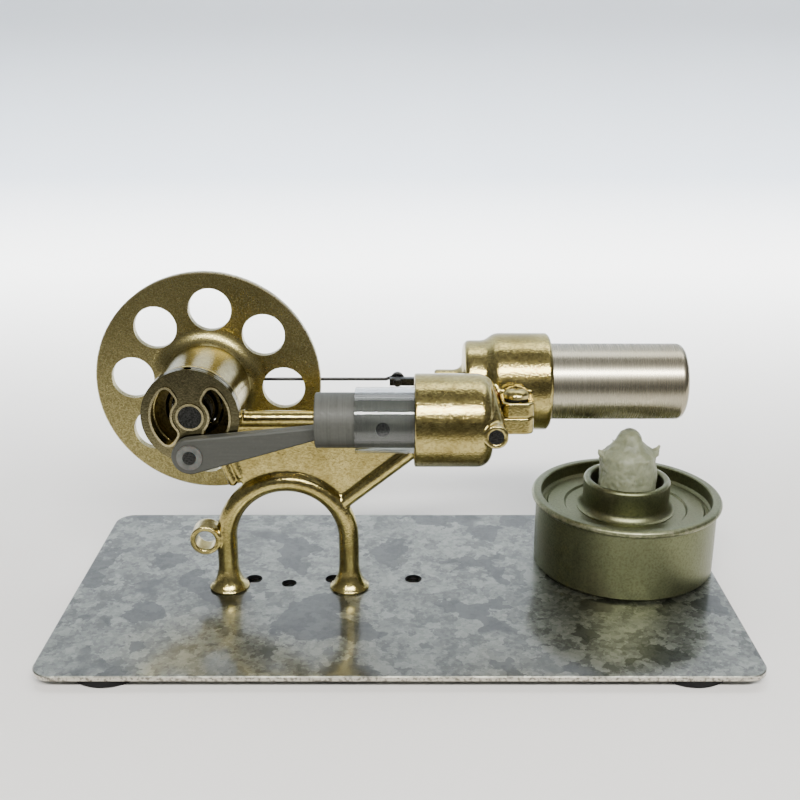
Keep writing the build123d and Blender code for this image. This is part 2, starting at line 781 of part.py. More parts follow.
crank_pin_front = rod_front - crank_pin_proud
tube_along_y("big_end_bush", crank_pin_centre, bush_r, crank_pin_r + slip, bush_front, rod_back)
# The crank pin stays with the rod and stops short of the crank disc: the opened pivot.
tube_along_y("crank_pin", crank_pin_centre, crank_pin_r, 0, crank_pin_front, disc_front - pivot_gap)


# ---- displacer block, hot tube, displacer and its rod ----
lug_neck_back = 5.0
lug_gap = 0.12
lug_right = lug_x + lug_half
lug_front = lug_y - lug_half
boss_relief = 0.3                         # room round the gas boss
pad_r = boss_r + 0.6                      # the pad that meets the gasket
pad_back = displacer_y - 8
passage_back = displacer_y - cold_bore_r + 2
guide_break = 0.5
cove_run = 3.0                            # the cove between the guide boss and the block
cove_rise = 4.0
cove_mid = (-0.4, 1.6)
small_shoulder_r = 1.6
swell_start = displacer_block_left + 4.6  # the block swells to its larger radius between these
swell_mid = displacer_block_left + 7.0
swell_end = displacer_block_left + 9.8
large_block_break = 0.8
guide_z = axis_z + guide_r
small_block_z = axis_z + small_block_r
large_block_z = axis_z + large_block_r
cold_left = displacer_block_left + cold_wall
with BuildPart() as displacer_block:
    with BuildSketch(at_y(displacer_y)):
        with BuildLine():
            Polyline(
                (displacer_block_right, axis_z),
                (guide_left, axis_z),
                (guide_left, guide_z - guide_break),
                (guide_left + guide_break, guide_z),
                (displacer_block_left - cove_run, guide_z),
            )
            Spline(
                (displacer_block_left - cove_run, guide_z),
                (displacer_block_left + cove_mid[0], guide_z + cove_mid[1]),
                (displacer_block_left, guide_z + cove_rise),
                tangents=((1, 0), (0, 1)),
            )
            Polyline(
                (displacer_block_left, guide_z + cove_rise),
                (displacer_block_left, small_block_z - small_shoulder_r),
            )
            RadiusArc(
                (displacer_block_left, small_block_z - small_shoulder_r),
                (displacer_block_left + small_shoulder_r, small_block_z),
                small_shoulder_r,
            )
            Line((displacer_block_left + small_shoulder_r, small_block_z), (swell_start, small_block_z))
            Spline(
                (swell_start, small_block_z),
                (swell_mid, (small_block_z + large_block_z) / 2),
                (swell_end, large_block_z),
                tangents=((1, 0), (1, 0)),
            )
            Polyline(
                (swell_end, large_block_z),
                (displacer_block_right - large_block_break, large_block_z),
                (displacer_block_right, large_block_z - large_block_break),
                (displacer_block_right, axis_z),
            )
        make_face()
    revolve(axis=displacer_axis)
    # Upper lug, reaching forward over the lower one.
    with BuildSketch(Plane.XY.offset(lug_split + lug_gap)):
        with Locations(((lug_left + lug_right) / 2, (lug_front + lug_neck_back) / 2)):
            RectangleRounded(lug_right - lug_left, lug_neck_back - lug_front, lug_corner_r)
    extrude(amount=lug_top - lug_split - lug_gap)
    # Relief round the gas boss, then the pad that faces it.
    with BuildSketch(at_y(gasket_back)):
        with Locations((boss_x, boss_z)):
            Circle(boss_r + boss_relief)
    extrude(amount=gasket_back - lug_front + over, mode=Mode.SUBTRACT)
    with BuildSketch(at_y(pad_back)):
        with Locations((boss_x, boss_z)):
            Circle(pad_r)
    extrude(amount=pad_back - gasket_back)
    # Bores for the hot tube, the cold space, the guide bush, the gas passage and the clamp screw.
    with BuildSketch(at_x(tube_left - tube_seat_gap)):
        with Locations((displacer_y, axis_z)):
            Circle(tube_r + fit)
    extrude(amount=displacer_block_right - tube_left + tube_seat_gap + over, mode=Mode.SUBTRACT)
    with BuildSketch(at_x(cold_left)):
        with Locations((displacer_y, axis_z)):
            Circle(cold_bore_r)
    extrude(amount=tube_left - cold_left, mode=Mode.SUBTRACT)
    with BuildSketch(at_x(guide_left - over)):
        with Locations((displacer_y, axis_z)):
            Circle(guide_bush_r + fit)
    extrude(amount=cold_left - guide_left + 2 * over, mode=Mode.SUBTRACT)
    with BuildSketch(at_y(passage_back)):
        with Locations((boss_x, boss_z)):
            Circle(passage_r)
    extrude(amount=passage_back - gasket_back + over, mode=Mode.SUBTRACT)
    with BuildSketch(Plane.XY.offset(lug_split)):
        with Locations((lug_x, lug_y)):
            Circle(screw_r + screw_clearance)
    extrude(amount=lug_top - lug_split + over, mode=Mode.SUBTRACT)
save(displacer_block, "displacer_block")

displacer_centre = (displacer_y, axis_z)
guide_bush_left = guide_left + guide_bush_sink
tube_along_x("guide_bush", displacer_centre, guide_bush_r, rod_r + slip, guide_bush_left, cold_left)

with BuildPart() as hot_tube:
    with BuildSketch(at_x(tube_left)):
        with Locations(displacer_centre):
            Circle(tube_r)
    extrude(amount=tube_right - tube_left)
    fillet(hot_tube.faces().sort_by(Axis.X)[-1].edges(), tube_end_r)
    offset(amount=-tube_wall, openings=hot_tube.faces().sort_by(Axis.X)[0])
save(hot_tube, "hot_tube")

cap_thickness = 2.5
with BuildPart() as displacer_can:
    with BuildSketch(at_x(displacer_left)):
        with Locations(displacer_centre):
            Circle(displacer_r)
    extrude(amount=displacer_right - displacer_left)
    fillet(displacer_can.faces().sort_by(Axis.X)[-1].edges(), displacer_end_r)
    offset(amount=-displacer_wall, openings=displacer_can.faces().sort_by(Axis.X)[0])
save(displacer_can, "displacer_can")

cap_r = displacer_r - displacer_wall - fit
tube_along_x(
    "displacer_cap", displacer_centre, cap_r, rod_r + fit, displacer_left, displacer_left + cap_thickness
)
rod_end_left = link_pin_x - 2.2
rod_end_right = 8.0
rod_socket = 2.5
tube_along_x(
    "displacer_rod", displacer_centre, rod_r, 0, rod_end_right - rod_socket, displacer_left + cap_thickness
)

flat_half = 1.05                          # half the rod end's depth and height
flat_break = 0.2
with BuildPart() as rod_end:
    with BuildSketch(at_x(rod_end_left)):
        with Locations(displacer_centre):
            Rectangle(2 * flat_half, 2 * flat_half)
    extrude(amount=rod_end_right - rod_end_left)
    chamfer(rod_end.edges().filter_by(Axis.X), flat_break)
    with BuildSketch(at_x(rod_end_right - rod_socket)):
        with Locations(displacer_centre):
            Circle(rod_r + fit)
    extrude(amount=rod_socket, mode=Mode.SUBTRACT)
    with BuildSketch(at_y(displacer_y + flat_half + over)):
        with Locations((link_pin_x, axis_z)):
            Circle(link_pin_r + fit)
    extrude(amount=2 * (flat_half + over), mode=Mode.SUBTRACT)
save(rod_end, "rod_end")

link_pin_centre = (link_pin_x, axis_z)
link_pin_back = wire_y + 1.3
link_pin_round = 0.4
nut_r = 1.8
nut_front = wire_y + wire_r + side_play
nut_back = link_pin_back - 0.1
with BuildPart() as link_pin:
    with BuildSketch(at_y(link_pin_back)):
        with Locations(link_pin_centre):
            Circle(link_pin_r)
    extrude(amount=link_pin_back - displacer_y + flat_half)
    with BuildSketch(at_y(displacer_y - flat_half)):
        with Locations(link_pin_centre):
            Circle(link_pin_head_r)
    extrude(amount=link_pin_head_height)
    fillet(link_pin.faces().sort_by(Axis.Y)[0].edges(), link_pin_round)
save(link_pin, "link_pin")
tube_along_y("link_pin_nut", link_pin_centre, nut_r, link_pin_r + fit, nut_front, nut_back)


# ---- displacer link: a wire with an eye at each end, and its crank pin ----
eye_r = 1.55
rear_pin_x = shaft_x + displacer_throw
rear_pin_centre = (rear_pin_x, axis_z)
wire_start = (rear_pin_x + eye_r, wire_y, axis_z)
wire_kink = (link_pin_x - 3.2, wire_y, axis_z)
wire_end = (link_pin_x - 0.7, wire_y, axis_z + 1)
with BuildPart() as link_wire:
    for eye_x in (link_pin_x, rear_pin_x):
        with BuildSketch(Plane.XY.offset(axis_z)):
            with Locations((eye_x + eye_r, wire_y)):
                Circle(wire_r)
        revolve(axis=Axis((eye_x, 0, axis_z), (0, 1, 0)))
    rod_between(wire_start, wire_kink, wire_r)
    rod_between(wire_kink, wire_end, wire_r)
save(link_wire, "link_wire")

# This pin stays with the wire and stops just behind the flywheel: the other opened pivot.
rear_pin_r = 0.7
rear_pin_head_r = 2.0
rear_pin_head_front = wire_y + wire_r + side_play
rear_pin_back = rear_pin_head_front + 0.8
with BuildPart() as rear_crank_pin:
    with BuildSketch(at_y(rear_pin_head_front)):
        with Locations(rear_pin_centre):
            Circle(rear_pin_r)
    extrude(amount=rear_pin_head_front - wheel_back - pivot_gap)
    with BuildSketch(at_y(rear_pin_back)):
        with Locations(rear_pin_centre):
            Circle(rear_pin_head_r)
    extrude(amount=rear_pin_back - rear_pin_head_front)
save(rear_crank_pin, "rear_crank_pin")


# ---- spirit burner ----
burner_axis = Axis((burner_x, burner_y, 0), (0, 0, 1))
burner_plane = at_y(burner_y)
can_bottom = deck + 0.02                  # it slides on the plate with a hair's room
can_bend = 1.0
can_inner_bend = 0.7
can_top = deck + can_height
can_inner_r = can_r - can_wall
seam_bottom = can_top - seam_height
lid_z = deck + lid_level

with BuildPart() as burner_can:
    with BuildSketch(burner_plane):
        with BuildLine():
            Polyline(
                (burner_x, can_bottom),
                (burner_x + can_r - can_bend, can_bottom),
                (burner_x + can_r, can_bottom + can_bend),
                (burner_x + can_r, seam_bottom),
                (burner_x + can_inner_r, seam_bottom),
                (burner_x + can_inner_r, can_bottom + can_wall + can_inner_bend),
                (burner_x + can_inner_r - can_inner_bend, can_bottom + can_wall),
                (burner_x, can_bottom + can_wall),
                close=True,
            )
        make_face()
    revolve(axis=burner_axis)
save(burner_can, "burner_can")

# The lid is a sunk panel with stepped rings; its rolled seam is the can's rim.
lid_t = 0.5
lid_play = 0.15
bead_z = seam_bottom + 0.55 * seam_height  # the widest part of the rolled seam
bead_top_r = can_r + 0.2
well_r = 24.2
well_break = 0.3
well_bend = 0.7
ring_1_r = 22.0
ring_2_r = 17.0
ring_z = lid_z + 0.6                      # top of the raised ring between the two radii
ring_slope = 0.5
lid_shift = 0.3                           # the underside's bends lie this far inside the upper ones
lid_under_z = lid_z - lid_t
lid_skirt_r = can_inner_r - lid_play
with BuildPart() as burner_lid:
    with BuildSketch(burner_plane):
        with BuildLine():
            ThreePointArc(
                (burner_x + can_r, seam_bottom),
                (burner_x + can_rim_r, bead_z),
                (burner_x + bead_top_r, can_top),
            )
            Polyline(
                (burner_x + bead_top_r, can_top),
                (burner_x + well_r + well_break, can_top),
                (burner_x + well_r, can_top - well_break),
                (burner_x + well_r, lid_z + well_bend),
                (burner_x + well_r - well_bend, lid_z),
                (burner_x + ring_1_r + ring_slope, lid_z),
                (burner_x + ring_1_r, ring_z),
                (burner_x + ring_2_r + ring_slope, ring_z),
                (burner_x + ring_2_r, lid_z),
                (burner_x + collar_bore_r, lid_z),
                (burner_x + collar_bore_r, lid_under_z),
                (burner_x + ring_2_r + lid_shift, lid_under_z),
                (burner_x + ring_2_r + ring_slope + lid_shift, ring_z - lid_t),
                (burner_x + ring_1_r - lid_shift, ring_z - lid_t),
                (burner_x + ring_1_r + ring_slope - lid_shift, lid_under_z),
                (burner_x + lid_skirt_r, lid_under_z),
                (burner_x + lid_skirt_r, seam_bottom),
                (burner_x + can_r, seam_bottom),
            )
        make_face()
    revolve(axis=burner_axis)
save(burner_lid, "burner_lid")

collar_lip_z = deck + collar_top - 0.8
collar_flare = 1.8
collar_flare_height = 2.4
collar_flange = 0.2
collar_foot_r = collar_r + collar_flare
flare_mid_r = collar_r + 0.25 * collar_flare
flare_mid_z = lid_z + 0.45 * collar_flare_height
with BuildPart() as wick_collar:
    with BuildSketch(burner_plane):
        with BuildLine():
            Polyline(
                (burner_x + collar_bore_r, collar_lip_z),
                (burner_x + collar_bore_r, lid_z),
                (burner_x + collar_foot_r, lid_z),
                (burner_x + collar_foot_r, lid_z + collar_flange),
            )
            Spline(
                (burner_x + collar_foot_r, lid_z + collar_flange),
                (burner_x + flare_mid_r, flare_mid_z),
                (burner_x + collar_r, lid_z + collar_flare_height),
                tangents=((-1, 0.1), (0, 1)),
            )
            Line((burner_x + collar_r, lid_z + collar_flare_height), (burner_x + collar_r, collar_lip_z))
            ThreePointArc(
                (burner_x + collar_r, collar_lip_z),
                (burner_x + (collar_r + collar_bore_r) / 2, deck + collar_top),
                (burner_x + collar_bore_r, collar_lip_z),
            )
        make_face()
    revolve(axis=burner_axis)
save(wick_collar, "wick_collar")

wick_bottom = can_bottom + 3
wick_shoulder_z = deck + 33
wick_mid_r = 6.0
wick_mid_z = deck + 38
wick_tip_r = 1.5
wick_top = deck + wick_tip
with BuildPart() as burner_wick:
    with BuildSketch(burner_plane):
        with BuildLine():
            Polyline(
                (burner_x, wick_top),
                (burner_x, wick_bottom),
                (burner_x + wick_r, wick_bottom),
                (burner_x + wick_r, wick_shoulder_z),
            )
            ThreePointArc(
                (burner_x + wick_r, wick_shoulder_z),
                (burner_x + wick_mid_r, wick_mid_z),
                (burner_x + wick_tip_r, wick_top),
            )
            Line((burner_x + wick_tip_r, wick_top), (burner_x, wick_top))
        make_face()
    revolve(axis=burner_axis)
save(burner_wick, "burner_wick")

# ---- travel of the two linkages ----
piston_right_travel = power_throw + rod_length - rod_run
piston_left_travel = rod_run - (rod_length - power_throw)
link_length = link_pin_x - rear_pin_x
link_swing = degrees(asin(displacer_throw / link_length))
print(f"connecting rod {rod_length:.2f} mm, tilt {rod_tilt:.2f} deg each way")
print(f"piston travel {-piston_left_travel:.2f} to {piston_right_travel:.2f} mm")
print(f"displacer travel {-2 * displacer_throw:.2f} to 0 mm, link swing {link_swing:.2f} deg")
print(f"cage speed {0.5 * (1 - ball_r / ball_circle_r):.4f} of the shaft")
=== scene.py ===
import json
import math

import bmesh
import bpy
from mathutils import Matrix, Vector, noise


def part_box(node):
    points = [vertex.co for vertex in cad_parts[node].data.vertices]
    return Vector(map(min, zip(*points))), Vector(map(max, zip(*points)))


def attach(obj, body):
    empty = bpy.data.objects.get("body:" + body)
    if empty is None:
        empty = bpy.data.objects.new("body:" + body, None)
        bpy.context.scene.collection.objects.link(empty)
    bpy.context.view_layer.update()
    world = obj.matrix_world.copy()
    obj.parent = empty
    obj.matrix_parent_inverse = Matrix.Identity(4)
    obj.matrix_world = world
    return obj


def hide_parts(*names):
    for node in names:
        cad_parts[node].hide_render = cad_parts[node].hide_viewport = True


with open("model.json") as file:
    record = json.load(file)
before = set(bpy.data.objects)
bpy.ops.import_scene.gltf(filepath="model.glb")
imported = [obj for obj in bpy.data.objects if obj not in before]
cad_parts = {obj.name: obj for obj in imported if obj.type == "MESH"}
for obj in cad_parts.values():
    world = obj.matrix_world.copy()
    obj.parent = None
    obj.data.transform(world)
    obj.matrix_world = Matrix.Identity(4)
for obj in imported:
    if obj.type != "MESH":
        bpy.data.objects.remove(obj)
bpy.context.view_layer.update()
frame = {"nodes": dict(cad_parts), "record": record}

nodes = frame["nodes"]
MM = 0.001


# ---------------------------------------------------------------- camera
CAMERA_AT = Vector((-0.4, -269.5, 150.6)) * MM
CAMERA_PITCH = 18.87
CAMERA_LENS = 48.4
CAMERA_SENSOR = 36
CAMERA_NEAR = 0.01

camera_data = bpy.data.cameras.new("camera")
camera_data.lens = CAMERA_LENS
camera_data.sensor_width = CAMERA_SENSOR
camera_data.clip_start = CAMERA_NEAR
camera = bpy.data.objects.new("camera", camera_data)
camera.location = CAMERA_AT
camera.rotation_euler = (math.radians(90 - CAMERA_PITCH), 0, 0)
bpy.context.scene.collection.objects.link(camera)
bpy.context.scene.camera = camera


# ---------------------------------------------------------------- places on the model
def node_middle(name):
    """The middle of a CAD node's box."""
    low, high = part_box(name)
    return (Vector(low) + Vector(high)) / 2


def node_half(name):
    """Half the size of a CAD node's box."""
    low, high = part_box(name)
    return (Vector(high) - Vector(low)) / 2


plate_middle = node_middle("base_plate")
plate_half = node_half("base_plate")
wheel_axis = node_middle("flywheel")
wheel_r = node_half("flywheel").x
burner_axis = node_middle("burner_lid")
can_rim_r = node_half("burner_lid").x


# ---------------------------------------------------------------- material helpers
class Shader:
    """A node material with short calls for the nodes that are used here."""

    def __init__(self, name):
        self.material = bpy.data.materials.new(name)
        self.material.use_nodes = True
        self.tree = self.material.node_tree
        self.bsdf = self.tree.nodes["Principled BSDF"]
        self.coordinates = self.tree.nodes.new("ShaderNodeTexCoord").outputs["Object"]

    def put(self, socket, value):
        """Sets a socket from a number, a colour or another node's output."""
        if isinstance(value, bpy.types.NodeSocket):
            self.tree.links.new(value, socket)
        else:
            socket.default_value = value

    def node(self, kind, **settings):
        made = self.tree.nodes.new(kind)
        for key, value in settings.items():
            setattr(made, key, value)
        return made

    def channels(self, value):
        """A colour's red, green and blue."""
        made = self.node("ShaderNodeSeparateColor")
        self.put(made.inputs[0], value)
        return made.outputs

    def axes(self, value=None):
        """The x, y and z of a vector, or of the object coordinates."""
        made = self.node("ShaderNodeSeparateXYZ")
        self.put(made.inputs[0], value or self.coordinates)
        return made.outputs

    def stretched(self, scale, rotation=(0, 0, 0)):
        """Object coordinates scaled by axis, so that a texture runs along one direction."""
        mapping = self.node("ShaderNodeMapping")
        self.put(mapping.inputs["Vector"], self.coordinates)
        mapping.inputs["Scale"].default_value = scale
        mapping.inputs["Rotation"].default_value = rotation
        return mapping.outputs["Vector"]

    def noise(self, scale, detail=4.0, roughness=0.55, vector=None, distortion=0.0):
        made = self.node("ShaderNodeTexNoise")
        self.put(made.inputs["Vector"], vector or self.coordinates)
        made.inputs["Scale"].default_value = scale
        made.inputs["Detail"].default_value = detail
        made.inputs["Roughness"].default_value = roughness
        made.inputs["Distortion"].default_value = distortion
        return made.outputs["Fac"]

    def cells(self, scale, vector=None, output="Color", feature="F1"):
        made = self.node("ShaderNodeTexVoronoi", feature=feature)
        self.put(made.inputs["Vector"], vector or self.coordinates)
        made.inputs["Scale"].default_value = scale
        return made.outputs[output]

    def spread(self, value, low, high, to_low=0.0, to_high=1.0):
        """Maps low..high to to_low..to_high, clamped."""
        made = self.node("ShaderNodeMapRange")
        self.put(made.inputs["Value"], value)
        made.inputs["From Min"].default_value = low
        made.inputs["From Max"].default_value = high
        made.inputs["To Min"].default_value = to_low
        made.inputs["To Max"].default_value = to_high
        return made.outputs["Result"]

    def mix(self, factor, first, second):
        made = self.node("ShaderNodeMix", data_type="RGBA")
        self.put(made.inputs["Factor"], factor)
        self.put(made.inputs["A"], first if isinstance(first, bpy.types.NodeSocket) else (*first, 1))
        self.put(made.inputs["B"], second if isinstance(second, bpy.types.NodeSocket) else (*second, 1))
        return made.outputs["Result"]

    def math(self, operation, first, second=0.0):
        made = self.node("ShaderNodeMath", operation=operation)
        self.put(made.inputs[0], first)
        self.put(made.inputs[1], second)
        return made.outputs[0]

    def bump(self, height, distance, strength=1.0, normal=None):
        made = self.node("ShaderNodeBump")
        self.put(made.inputs["Height"], height)
        made.inputs["Distance"].default_value = distance
        made.inputs["Strength"].default_value = strength
        if normal is not None:
            self.put(made.inputs["Normal"], normal)
        return made.outputs["Normal"]

    def warped(self, amount, scale):
        """Object coordinates pushed about by noise, in metres."""
        wobble = self.node("ShaderNodeTexNoise")
        self.put(wobble.inputs["Vector"], self.coordinates)
        wobble.inputs["Scale"].default_value = scale
        wobble.inputs["Detail"].default_value = 3.0
        centred = self.node("ShaderNodeVectorMath", operation="SUBTRACT")
        self.put(centred.inputs[0], wobble.outputs["Color"])
        centred.inputs[1].default_value = (0.5, 0.5, 0.5)
        scaled = self.node("ShaderNodeVectorMath", operation="SCALE")
        self.put(scaled.inputs[0], centred.outputs[0])
        scaled.inputs["Scale"].default_value = amount
        added = self.node("ShaderNodeVectorMath", operation="ADD")
        self.put(added.inputs[0], self.coordinates)
        self.put(added.inputs[1], scaled.outputs[0])
        return added.outputs[0]

    def distance_from(self, centre, axes):
        """Distance from a line through the centre; axes is 0 along that line and 1 across it."""
        offset = self.node("ShaderNodeVectorMath", operation="SUBTRACT")
        self.put(offset.inputs[0], self.coordinates)
        offset.inputs[1].default_value = centre
        across = self.node("ShaderNodeVectorMath", operation="MULTIPLY")
        self.put(across.inputs[0], offset.outputs[0])
        across.inputs[1].default_value = axes
        length = self.node("ShaderNodeVectorMath", operation="LENGTH")
        self.put(length.inputs[0], across.outputs[0])
        return length.outputs["Value"]

    def finish(self, colour, roughness, metallic=0.0, normal=None, **sockets):
        self.put(self.bsdf.inputs["Base Color"], colour)
        self.put(self.bsdf.inputs["Roughness"], roughness)
        self.bsdf.inputs["Metallic"].default_value = metallic
        if normal is not None:
            self.put(self.bsdf.inputs["Normal"], normal)
        for name, value in sockets.items():
            self.put(self.bsdf.inputs[name.replace("_", " ")], value)
        return self.material


# ---------------------------------------------------------------- materials
def spangled_steel():
    """Galvanised sheet: ragged crystal patches of several greys, fine scratches, a bright cut edge."""
    s = Shader("spangled_steel")
    ragged = s.warped(0.007, 260)
    patch = s.channels(s.cells(105, ragged))[0]
    shard = s.channels(s.cells(300, s.warped(0.005, 520)))[1]
    flake = s.channels(s.cells(900, s.warped(0.002, 1200)))[2]
    dark_patch = s.spread(s.math("ADD", patch, s.math("MULTIPLY", s.noise(26, 3.0), 0.5)), 1.035, 1.05)
    tone = s.math("ADD", s.math("MULTIPLY", shard, 0.6), s.math("MULTIPLY", flake, 0.4))
    colour = s.mix(s.spread(tone, 0.22, 0.78), (0.072, 0.076, 0.061), (0.250, 0.257, 0.218))
    colour = s.mix(s.math("MULTIPLY", dark_patch, 0.78), colour, (0.020, 0.022, 0.017))
    crack = s.spread(s.cells(300, s.warped(0.005, 520), "Distance", "DISTANCE_TO_EDGE"), 0.0, 0.05, 1.0, 0.0)
    colour = s.mix(s.math("MULTIPLY", crack, 0.30), colour, (0.065, 0.07, 0.067))
    speck = s.spread(s.noise(900, 2.0), 0.66, 0.72)
    colour = s.mix(s.math("MULTIPLY", speck, 0.5), colour, (0.045, 0.048, 0.045))
    facing = s.axes(s.node("ShaderNodeNewGeometry").outputs["Normal"])
    edge = s.spread(s.math("ABSOLUTE", facing[2]), 0.3, 0.8, 1.0, 0.0)
    edge_tone = s.mix(s.spread(s.noise(1300, 3.0), 0.50, 0.60), (0.50, 0.475, 0.40), (0.15, 0.135, 0.105))
    # The bright cut edge is only round the outside; the walls of the holes get a painted shade, nearly
    # black.
    place = s.axes()
    off_middle = [s.math("ABSOLUTE", s.math("SUBTRACT", place[i], plate_middle[i])) for i in (0, 1)]
    near_rim = [s.spread(off_middle[i], plate_half[i] - 0.007, plate_half[i] - 0.005) for i in (0, 1)]
    outside = s.math("MAXIMUM", near_rim[0], near_rim[1])
    # Painted shade: the walls of the holes are nearly black.
    edge_tone = s.mix(outside, (0.02, 0.02, 0.018), edge_tone)
    colour = s.mix(edge, colour, edge_tone)
    scratch = s.noise(1.0, 2.0, vector=s.stretched((70, 2600, 90), (0, 0, 0.5)))
    scratch = s.math("ADD", scratch, s.noise(1.0, 2.0, vector=s.stretched((2300, 60, 90), (0, 0, -0.3))))
    rough = s.math("ADD", s.spread(tone, 0, 1, 0.50, 0.38), s.spread(scratch, 0.9, 1.25, 0.0, 0.08))
    relief = s.math("ADD", s.math("MULTIPLY", tone, 0.5), s.math("MULTIPLY", scratch, 0.2))
    return s.finish(
        colour, rough, 1.0, s.bump(relief, 0.00004, 0.5), Coat_Weight=1.0, Coat_Roughness=0.13, Coat_IOR=1.55
    )


def plating(name, dark, light, pit_tone, rough_low, rough_high, peel_depth):
    """Gold plate over a die casting: orange-peel gloss with small brown pits."""
    s = Shader(name)
    cloud = s.noise(120, 4.0)
    colour = s.mix(s.spread(cloud, 0.35, 0.65), dark, light)
    mottle = s.spread(s.noise(520, 4.0), 0.52, 0.72)
    colour = s.mix(s.math("MULTIPLY", mottle, 0.45), colour, pit_tone)
    grain = s.spread(s.noise(1250, 3.0, 0.6), 0.47, 0.60)
    colour = s.mix(s.math("MULTIPLY", grain, 0.45), colour, pit_tone)
    pit = s.spread(s.noise(1900, 2.0), 0.62, 0.70)
    colour = s.mix(s.math("MULTIPLY", pit, 0.6), colour, (0.16, 0.10, 0.035))
    # Sharp outer edges and ribs are painted a lighter gold: a painted highlight along the edges.
    edge_highlight = s.spread(s.node("ShaderNodeNewGeometry").outputs["Pointiness"], 0.52, 0.58)
    colour = s.mix(s.math("MULTIPLY", edge_highlight, 0.5), colour, (0.66, 0.57, 0.30))
    rough = s.spread(s.noise(600, 3.0), 0.3, 0.7, rough_low, rough_high)
    peel = s.bump(s.noise(420, 2.0), peel_depth, 0.2)
    peel = s.bump(s.noise(1500, 3.0, 0.6), 1.3 * peel_depth, 0.6, peel)
    return s.finish(colour, rough, 1.0, peel)


def disc_gold():
    """The crank disc's flat face: fine dark grain, with brighter plate on the lips that stand proud."""
    s = Shader("disc_gold")
    grain = s.noise(1900, 3.0)
    colour = s.mix(s.spread(grain, 0.35, 0.65), (0.150, 0.132, 0.066), (0.225, 0.200, 0.108))
    disc_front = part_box("crank_disc")[0][1]
    proud = s.spread(s.axes()[1], disc_front + 0.00015, disc_front + 0.00025, 1.0, 0.0)
    colour = s.mix(proud, colour, (0.62, 0.54, 0.30))
    rough = s.spread(s.noise(600, 3.0), 0.3, 0.7, 0.14, 0.24)
    return s.finish(colour, rough, 1.0, s.bump(grain, 0.00006, 0.5))


def gold_satin():
    """The flywheel's flat plated sheet: satin, grainy, with faint cloudy staining."""
    s = Shader("gold_satin")
    cloud = s.noise(45, 5.0)
    colour = s.mix(s.spread(cloud, 0.30, 0.70), (0.290, 0.248, 0.104), (0.338, 0.292, 0.126))
    grain = s.noise(2300, 2.0)
    colour = s.mix(s.spread(grain, 0.44, 0.60, 0.0, 0.55), colour, (0.11, 0.09, 0.034))
    stain = s.spread(s.noise(420, 4.0), 0.64, 0.76)
    colour = s.mix(s.math("MULTIPLY", stain, 0.25), colour, (0.11, 0.085, 0.035))
    rim = s.spread(s.distance_from(wheel_axis, (1, 0, 1)), wheel_r - 0.0004, wheel_r - 0.0002)
    colour = s.mix(s.math("MULTIPLY", rim, 0.6), colour, (0.62, 0.55, 0.34))
    rough = s.spread(grain, 0.3, 0.7, 0.24, 0.36)
    grit = s.bump(grain, 0.00008, 0.6)
    return s.finish(colour, rough, 1.0, s.bump(s.noise(700, 2.0), 0.00009, 0.3, grit))


def stainless():
    """Drawn stainless tube, brushed round its axis, tinted straw by heat towards its closed end."""
    s = Shader("stainless")
    rings = s.noise(1.0, 4.0, 0.7, vector=s.stretched((5200, 60, 60)))
    heat = s.spread(s.axes()[0], 0.045, 0.078)
    heat = s.math("MULTIPLY", heat, s.spread(s.noise(90, 3.0), 0.3, 0.7, 0.4, 1.0))
    colour = s.mix(s.spread(rings, 0.3, 0.7), (0.362, 0.334, 0.253), (0.393, 0.364, 0.281))
    colour = s.mix(s.math("MULTIPLY", heat, 0.4), colour, (0.30, 0.235, 0.13))
    rough = s.spread(rings, 0.3, 0.7, 0.25, 0.29)
    return s.finish(colour, rough, 1.0, s.bump(rings, 0.00002, 0.15))


def steel(name, dark, light, rough_low, rough_high, grain=1400):
    """Turned or drawn steel with a fine grain."""
    s = Shader(name)
    turned = s.noise(grain, 4.0)
    colour = s.mix(s.spread(turned, 0.35, 0.65), dark, light)
    rough = s.spread(s.noise(500, 3.0), 0.3, 0.7, rough_low, rough_high)
    return s.finish(colour, rough, 1.0, s.bump(turned, 0.00003, 0.5))


def black_rubber():
    """Moulded rubber, nearly black, with a little dust."""
    s = Shader("black_rubber")
    dust = s.noise(500, 5.0)
    colour = s.mix(s.spread(dust, 0.5, 0.8, 0.0, 0.5), (0.006, 0.006, 0.006), (0.022, 0.022, 0.021))
    return s.finish(
        colour, s.spread(dust, 0.3, 0.7, 0.6, 0.85), 0.0, s.bump(dust, 0.00008, 0.5), Specular_IOR_Level=0.15
    )


def piston_grey():
    """Frosted grey piston with faint turning marks round it."""
    s = Shader("piston_grey")
    turned = s.noise(1.0, 3.0, 0.6, vector=s.stretched((2600, 80, 80)))
    frost = s.noise(1300, 4.0)
    colour = s.mix(s.spread(turned, 0.3, 0.7), (0.044, 0.045, 0.037), (0.066, 0.067, 0.056))
    colour = s.mix(s.spread(frost, 0.4, 0.7, 0.0, 0.35), colour, (0.092, 0.093, 0.080))
    return s.finish(
        colour, s.spread(frost, 0.3, 0.7, 0.48, 0.66), 0.15, s.bump(turned, 0.00004, 0.5)
    )


def rod_grey():
    """Grey anodised bar, milled along its length, with fine pale specks."""
    s = Shader("rod_grey")
    milled = s.noise(1.0, 3.0, 0.6, vector=s.stretched((120, 300, 2200)))
    speck = s.noise(1700, 3.0)
    colour = s.mix(s.spread(milled, 0.3, 0.7), (0.040, 0.041, 0.034), (0.050, 0.051, 0.043))
    colour = s.mix(s.spread(speck, 0.5, 0.75, 0.0, 0.35), colour, (0.080, 0.081, 0.069))
    return s.finish(colour, s.spread(speck, 0.3, 0.7, 0.48, 0.64), 0.15, s.bump(speck, 0.00004, 0.5))


